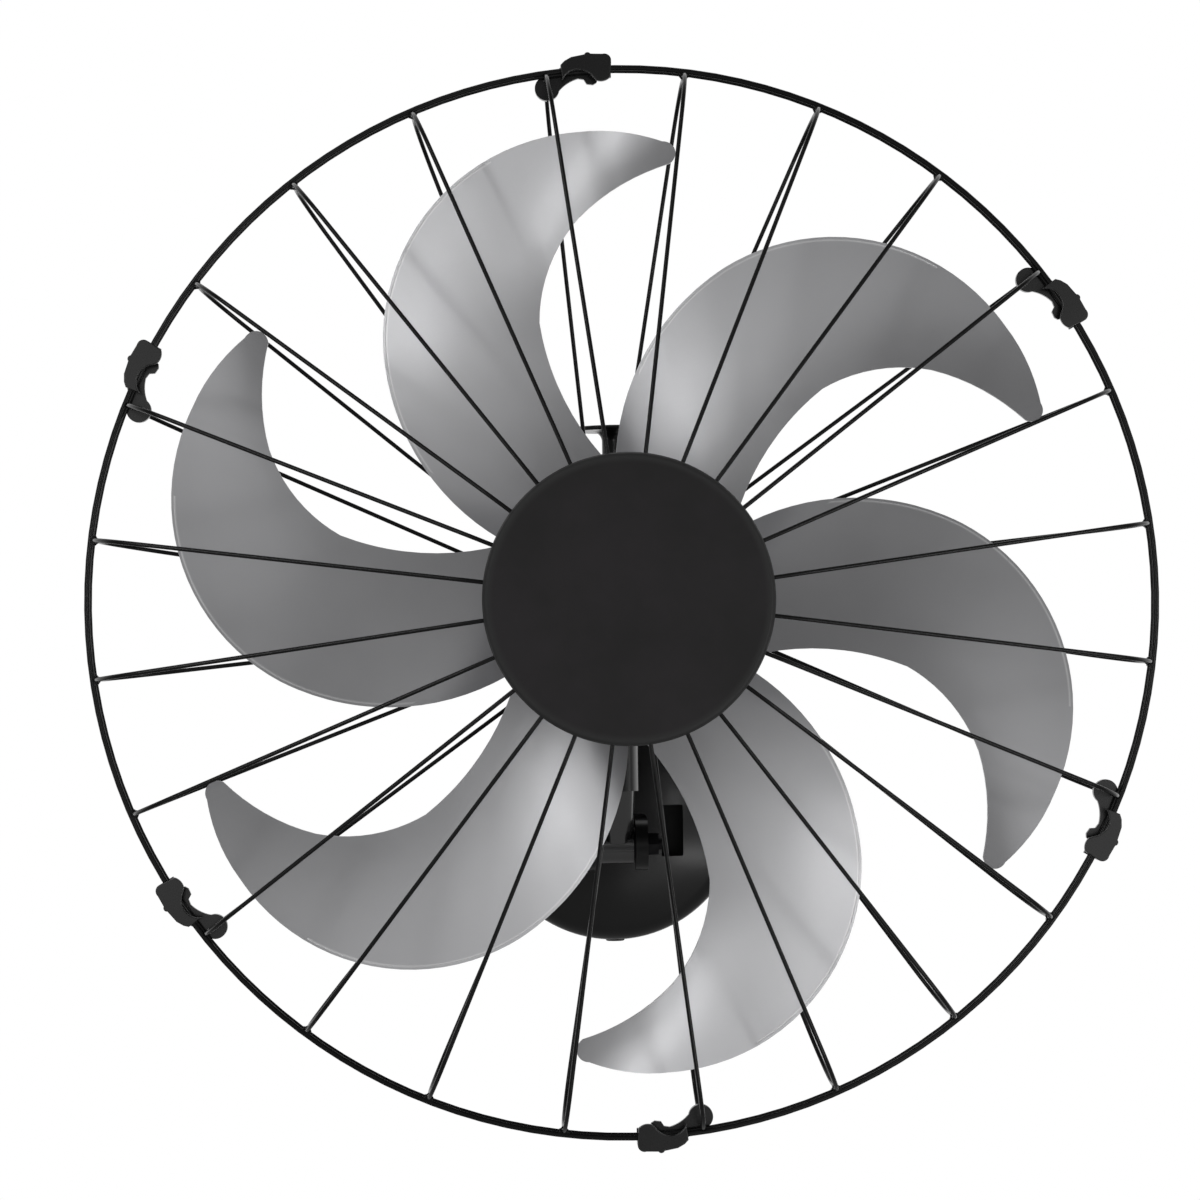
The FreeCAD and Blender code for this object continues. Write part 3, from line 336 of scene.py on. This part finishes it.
def makeCoreSteel():
    look = coreLook
    p = newFinish("coreSteel", {"Metallic": look["metal"]})
    line = p.calc("PINGPONG", p.along("Y", p.place()), look["sheet"]) / look["sheet"]
    shade = p.blend(p.step(line, *look["lines"]), look["dark"], look["light"])
    rough = look["rough"] + p.noise(*look["cloud"]) * look["roughMore"]
    return p.coat(shade, rough, p.bump(line, *look["bump"]))


finishes = {"wirePaint": makeWirePaint(), "badgeMoulding": makeBadge(),
            "silver": makeSilver(), "coreSteel": makeCoreSteel()}
finishes.update({name: makeMoulding(name, {**moulding, **look}) for name, look in mouldings.items()})
finishes.update({name: makeMetal(name, {**bareMetal, **look}) for name, look in metals.items()})
print("finishes:", len(finishes))

clipNames = [f"guard_clip_{n}" for n in range(1, 7)]
wearers = {
    "wirePaint": ["front_guard_ring", "front_guard_spokes", "front_guard_hub_ring", "rear_guard_ring",
                  "rear_guard_spokes", "rear_guard_plate"],
    "satinSheetPaint": ["wall_bracket"],
    "glossNeckPaint": ["neck_arm"],
    "badgeMoulding": ["centre_badge"],
    "blackMoulding": ["motor_cover", "gearbox_case", "gearbox_lid", "run_capacitor"],
    "glossMoulding": ["canopy", "oscillation_knob"],
    "clipMoulding": clipNames,
    "softRubber": ["cable_grommet"],
    "silver": ["impeller", "impeller_nut"],
    "coreSteel": ["stator_core", "rotor_core"],
    "blackenedSteel": ["canopy_screws", "cover_screws", "tilt_bolt", "tilt_nut", "tilt_washers",
                       "pivot_washer"],
    "zincSteel": ["pivot_set_screw", "pivot_post", "tie_screws", "gearbox_screws", "guard_screws",
                  "motor_shaft", "drive_pin"],
    "castAlloy": ["motor_rear_bell", "motor_front_bell"],
    "copperWire": ["stator_windings"],
    "sinteredBronze": ["front_bearing", "rear_bearing"],
}


def dressNodes():
    for finish, names in wearers.items():
        for name in names:
            for slot in nodes[name].material_slots:
                slot.material = finishes[finish]
    bare = set(nodes) - {name for names in wearers.values() for name in names}
    print("dressed", len(nodes) - len(bare), "pieces, left over:", sorted(bare))


dressNodes()

# modelling
quarterTurn = math.radians(90.0)
squarely = 0.9  # the least that a face's normal points up or down to be picked for it


def looksUp(face):
    return face.normal.z > squarely


def looksDown(face):
    return face.normal.z < -squarely


def looksAside(face):
    return abs(face.normal.z) < 1.0 - squarely


# a primitive of the size given, in edit mode, selected all over
def startModel(addPrimitive, **size):
    bpy.ops.object.select_all(action="DESELECT")
    addPrimitive(**size)
    bpy.ops.object.mode_set(mode="EDIT")
    return bpy.context.object


def pick(piece, test):
    bpy.context.scene.tool_settings.mesh_select_mode = (False, False, True)
    bpy.ops.object.mode_set(mode="OBJECT")
    for face in piece.data.polygons:
        face.select = test(face)
    bpy.ops.object.mode_set(mode="EDIT")


def growFaces(wide, deep, rise):
    bpy.ops.mesh.extrude_region_move()
    bpy.ops.transform.resize(value=(wide, deep, 1.0))
    bpy.ops.transform.translate(value=(0.0, 0.0, rise))


# one copy of the model at each place, joined to one piece
def spread(model, name, places, finish):
    copies = []
    for place in places:
        copy = model.copy()
        copy.data = model.data.copy()
        copy.data.transform(place)
        bpy.context.scene.collection.objects.link(copy)
        copies.append(copy)
    bpy.data.objects.remove(model)
    bpy.ops.object.select_all(action="DESELECT")
    for copy in copies:
        copy.select_set(True)
    bpy.context.view_layer.objects.active = copies[0]
    bpy.ops.object.join()
    piece = copies[0]
    piece.name = name
    piece.data.materials.clear()
    piece.data.materials.append(finishes[finish])
    return piece


# welds: a flare on each side of a spoke, where it meets its ring; none under the clips
weldLook = {"wide": 0.0058, "deep": 0.0026, "slab": 0.0008,
            "steps": [(0.62, 0.95, 0.0007), (0.74, 0.9, 0.001)],  # width, depth, drop
            "sunk": 0.0004, "round": 0.00035, "segments": 2, "crease": 50.0, "spokes": 24, "clipEvery": 4}


def makeWeld():
    look = weldLook
    bead = startModel(bpy.ops.mesh.primitive_cube_add, size=1.0)
    bpy.ops.transform.resize(value=(look["wide"], look["deep"], look["slab"]))
    pick(bead, looksDown)
    for wide, deep, drop in look["steps"]:
        growFaces(wide, deep, -drop)
    bpy.ops.mesh.select_all(action="SELECT")
    bpy.ops.mesh.bevel(offset=look["round"], segments=look["segments"])
    bpy.ops.mesh.normals_make_consistent(inside=False)
    bpy.ops.object.mode_set(mode="OBJECT")
    bpy.ops.object.shade_smooth_by_angle(angle=math.radians(look["crease"]))
    return bead


# the first spoke stands half a step off the top
def addWelds(side):
    look = weldLook
    low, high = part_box(f"{side}_guard_ring")
    inner = (high.x - low.x) / 2 - (high.y - low.y) + look["sunk"]
    middle = fanAxis + Vector((0.0, (low.y + high.y) / 2, 0.0))
    places = []
    for k in range(look["spokes"]):
        if (k + 1) % look["clipEvery"]:
            turn = Matrix.Rotation(math.tau * (k + 0.5) / look["spokes"], 4, "Y")
            places.append(Matrix.Translation(middle) @ turn @ Matrix.Translation((0.0, 0.0, inner)))
    piece = spread(makeWeld(), f"{side}Welds", places, "wirePaint")
    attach(piece, "head")


addWelds("front")
addWelds("rear")
print("welds on both rings")

# pan head screws with a cross recess
screwLook = {"sides": 40,
             "pan": [(1.0, 0.35), (0.94, 0.35), (0.8, 0.2), (0.66, 0.1)],  # width, share of the rise
             "arm": 0.0021, "slot": 0.0009, "recess": 0.0026, "taper": 0.62,
             "pointWide": 0.4, "pointLong": 0.6, "crease": 40.0}
coverScrewLook = {"head": 0.0022, "radius": 0.0036, "shank": 0.002, "length": 0.02}
canopyScrewLook = {"head": 0.0024, "radius": 0.0035, "shank": 0.00165, "length": 0.009}


def makeRecess():
    look = screwLook
    cross = startModel(bpy.ops.mesh.primitive_cube_add, size=1.0)
    bpy.ops.transform.resize(value=(look["slot"], look["slot"], look["recess"]))
    pick(cross, looksAside)
    bpy.ops.mesh.extrude_faces_move(TRANSFORM_OT_shrink_fatten={"value": look["arm"] - look["slot"] / 2})
    pick(cross, looksDown)
    bpy.ops.transform.resize(value=(look["taper"], look["taper"], 1.0))
    bpy.ops.mesh.select_all(action="SELECT")
    bpy.ops.mesh.normals_make_consistent(inside=False)
    bpy.ops.object.mode_set(mode="OBJECT")
    return cross


def makeScrew(size):
    look = screwLook
    cross = makeRecess()
    screw = startModel(bpy.ops.mesh.primitive_cylinder_add, vertices=look["sides"],
                       radius=size["shank"], depth=size["length"])
    bpy.ops.transform.translate(value=(0.0, 0.0, -size["head"] - size["length"] / 2))
    pick(screw, looksUp)
    flange = size["radius"] / size["shank"]
    growFaces(flange, flange, 0.0)
    for grow, rise in look["pan"]:
        growFaces(grow, grow, rise * size["head"])
    pick(screw, lambda face: looksDown(face) and face.center.z < -size["length"])
    growFaces(look["pointWide"], look["pointWide"], -size["shank"] * look["pointLong"])
    bpy.ops.object.mode_set(mode="OBJECT")
    cut = screw.modifiers.new("recess", "BOOLEAN")
    cut.operation = "DIFFERENCE"
    cut.object = cross
    bpy.ops.object.modifier_apply(modifier="recess")
    bpy.data.objects.remove(cross)
    bpy.ops.object.shade_smooth_by_angle(angle=math.radians(look["crease"]))
    return screw


def addCoverScrews():
    size = coverScrewLook
    low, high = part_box("cover_screws")
    turn = Matrix.Rotation(-quarterTurn, 4, "X")
    places = [Matrix.Translation((x, high.y, (low.z + high.z) / 2)) @ turn
              for x in (low.x + size["radius"], high.x - size["radius"])]
    piece = spread(makeScrew(size), "coverScrews", places, "blackenedSteel")
    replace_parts(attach(piece, "head"), "cover_screws")


def addCanopyScrews():
    low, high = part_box("canopy_screws")
    middle = (low + high) / 2
    places = [Matrix.Translation((x, middle.y, middle.z)) @ Matrix.Rotation(turn, 4, "Y")
              for x, turn in ((low.x, -quarterTurn), (high.x, quarterTurn))]
    piece = spread(makeScrew(canopyScrewLook), "canopyScrews", places, "blackenedSteel")
    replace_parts(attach(piece, "wall_base"), "canopy_screws")


addCoverScrews()
addCanopyScrews()
print("screws on cover and canopy")

# camera: a long lens, a little left of the fan's axis and below it; focal length and frame in pixels
cameraLook = {"distance": 1.9, "left": 0.07, "below": 0.032, "focal": 3407.0, "frame": 1200.0, "sensor": 36.0,
              "aimLeft": 0.0134, "aimUp": 0.001, "roll": 1.0, "near": 0.05, "far": 60.0}


def addCamera():
    look = cameraLook
    spot = fanMiddle + Vector((-look["left"], -look["distance"], -look["below"]))
    aim = fanMiddle + Vector((-look["aimLeft"], 0.0, look["aimUp"]))
    lens = bpy.data.cameras.new("camera")
    lens.sensor_width = look["sensor"]
    lens.lens = look["focal"] / look["frame"] * look["sensor"]
    lens.clip_start, lens.clip_end = look["near"], look["far"]
    camera = bpy.data.objects.new("camera", lens)
    bpy.context.scene.collection.objects.link(camera)
    camera.location = spot
    lean = Quaternion((0.0, 0.0, 1.0), -math.radians(look["roll"]))
    camera.rotation_euler = ((aim - spot).to_track_quat("-Z", "Y") @ lean).to_euler()
    bpy.context.scene.camera = camera


addCamera()

# a wide soft box on each side, small bright ones for the highlights, and fill from above and below;
# each lamp's two ends are places as the fan sees them, and away is how far off it stands
lampLook = {
    "leftBox": {"ends": ((-58.0, -18.0), (-12.0, 14.0)), "away": 1.7, "width": 1.3, "power": 3.7},
    "leftStrip": {"ends": ((-50.0, 32.0), (-30.0, 32.0)), "away": 1.7, "width": 0.12, "power": 2.0},
    "leftSpot": {"ends": ((-34.0, 10.0), (-34.0, 1.0)), "away": 1.7, "width": 0.14, "power": 1.4},
    "rightBox": {"ends": ((64.0, 14.0), (8.0, -20.0)), "away": 1.7, "width": 1.3, "power": 4.4},
    "rightStrip": {"ends": ((54.0, -31.0), (32.0, -31.0)), "away": 1.7, "width": 0.12, "power": 2.1},
    "rightSpot": {"ends": ((38.0, 4.0), (38.0, -7.0)), "away": 1.7, "width": 0.14, "power": 1.5},
    "highBox": {"ends": ((-22.0, 52.0), (-16.0, 28.0)), "away": 2.4, "width": 1.2, "power": 3.4},
    "lowBox": {"ends": ((22.0, -50.0), (16.0, -28.0)), "away": 1.2, "width": 0.6, "power": 0.6},
}


# a place seen from the fan: degrees to the right and up from straight ahead
def seenAt(across, up, away):
    aside = math.hypot(across, up)
    slant = math.radians(aside)
    lean = math.sin(slant) / aside
    return Vector((lean * across, -math.cos(slant), lean * up)) * away


def addLamps():
    for name, look in lampLook.items():
        top, foot = (seenAt(*end, look["away"]) for end in look["ends"])
        light = bpy.data.lights.new(name, "AREA")
        light.shape = "RECTANGLE"
        light.size, light.size_y = look["width"], (top - foot).length
        light.energy = look["power"]
        lamp = bpy.data.objects.new(name, light)
        bpy.context.scene.collection.objects.link(lamp)
        back = (top + foot).normalized()
        side = (top - foot).cross(back).normalized()
        lamp.rotation_euler = Matrix((side, back.cross(side), back)).transposed().to_euler()
        lamp.location = fanMiddle + (top + foot) / 2
        lamp.visible_camera = False


addLamps()

# white all round for the eye, white behind the fan and dim in front of it for reflections
worldLook = {"room": 0.25, "front": 0.215, "back": 1.0, "change": (-0.2, 0.5)}


def paintWorld():
    look = worldLook
    world = bpy.data.worlds.new("studio")
    bpy.context.scene.world = world
    world.use_nodes = True
    p = Paint(world.node_tree)
    background = world.node_tree.nodes["Background"]
    heading = p.along("Y", p.place("Generated"))
    seen = look["front"] + p.step(heading, *look["change"]) * (look["back"] - look["front"])
    strength = look["room"] + p.seenMirrored() * (seen - look["room"])
    strength = strength + p.ray("Is Camera Ray") * (1.0 - strength)
    p.feed(background.inputs["Color"], grey(1.0))
    p.feed(background.inputs["Strength"], strength)


paintWorld()

# floor, well below the fan
floorLook = {"drop": 0.75, "forward": 0.2, "radius": 2.3, "sides": 96, "shade": 0.6, "paler": 1.04,
             "cloud": (3.0, 3.0), "rough": 0.7, "seen": 0.5, "mirrored": 0.05}


def addFloor():
    look = floorLook
    bpy.ops.object.select_all(action="DESELECT")
    bpy.ops.mesh.primitive_circle_add(vertices=look["sides"], radius=look["radius"], fill_type="NGON",
                                      location=(0.0, -look["forward"], cadBox[0].z - look["drop"]))
    floor = bpy.context.object
    floor.name = "floor"
    p = newFinish("paleFloor", {"Roughness": look["rough"], "Emission Strength": 1.0})
    shade = p.blend(p.noise(*look["cloud"]), grey(look["shade"]), grey(look["shade"] * look["paler"]))
    p.feed(p.shader.inputs["Base Color"], shade)
    glow = p.ray("Is Camera Ray") * look["seen"] + p.seenMirrored() * look["mirrored"]
    p.feed(p.shader.inputs["Emission Color"], p.blend(glow, grey(0.0), grey(1.0)))
    floor.data.materials.append(p.material)


addFloor()
print("camera, lamps, world and floor set")

bpy.context.scene.view_settings.view_transform = "Standard"
